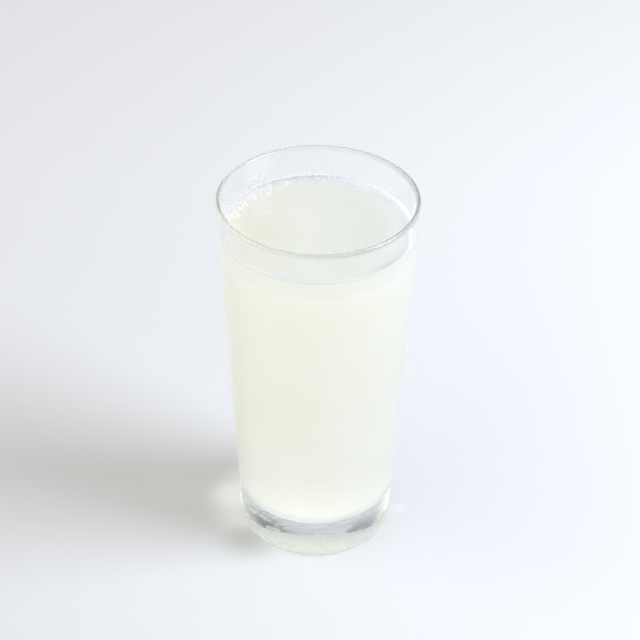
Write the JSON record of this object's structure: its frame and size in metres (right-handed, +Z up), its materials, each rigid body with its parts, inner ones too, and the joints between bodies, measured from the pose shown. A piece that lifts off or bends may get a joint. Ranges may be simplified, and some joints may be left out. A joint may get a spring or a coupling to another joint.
{
  "type": "glass of sugarcane juice",
  "caption": "Tall tapered clear tumbler with a thick foot, filled almost to the brim with pale cloudy sugarcane juice, with small bubbles along the edge of the surface.",
  "frame": {"origin": "middle of the ring that the glass stands on", "axes": "+Z up along the glass's axis, X and Y in the plane it stands on, +X to the right as seen from the front"},
  "size_m": [0.0758, 0.0758, 0.15],
  "materials": {
    "glass": "clear, polished",
    "juice": "cloudy pale yellow-green liquid, wet surface"
  },
  "bodies": {
    "root": {"glass": "glass", "juice": "juice"}
  },
  "joints": []
}
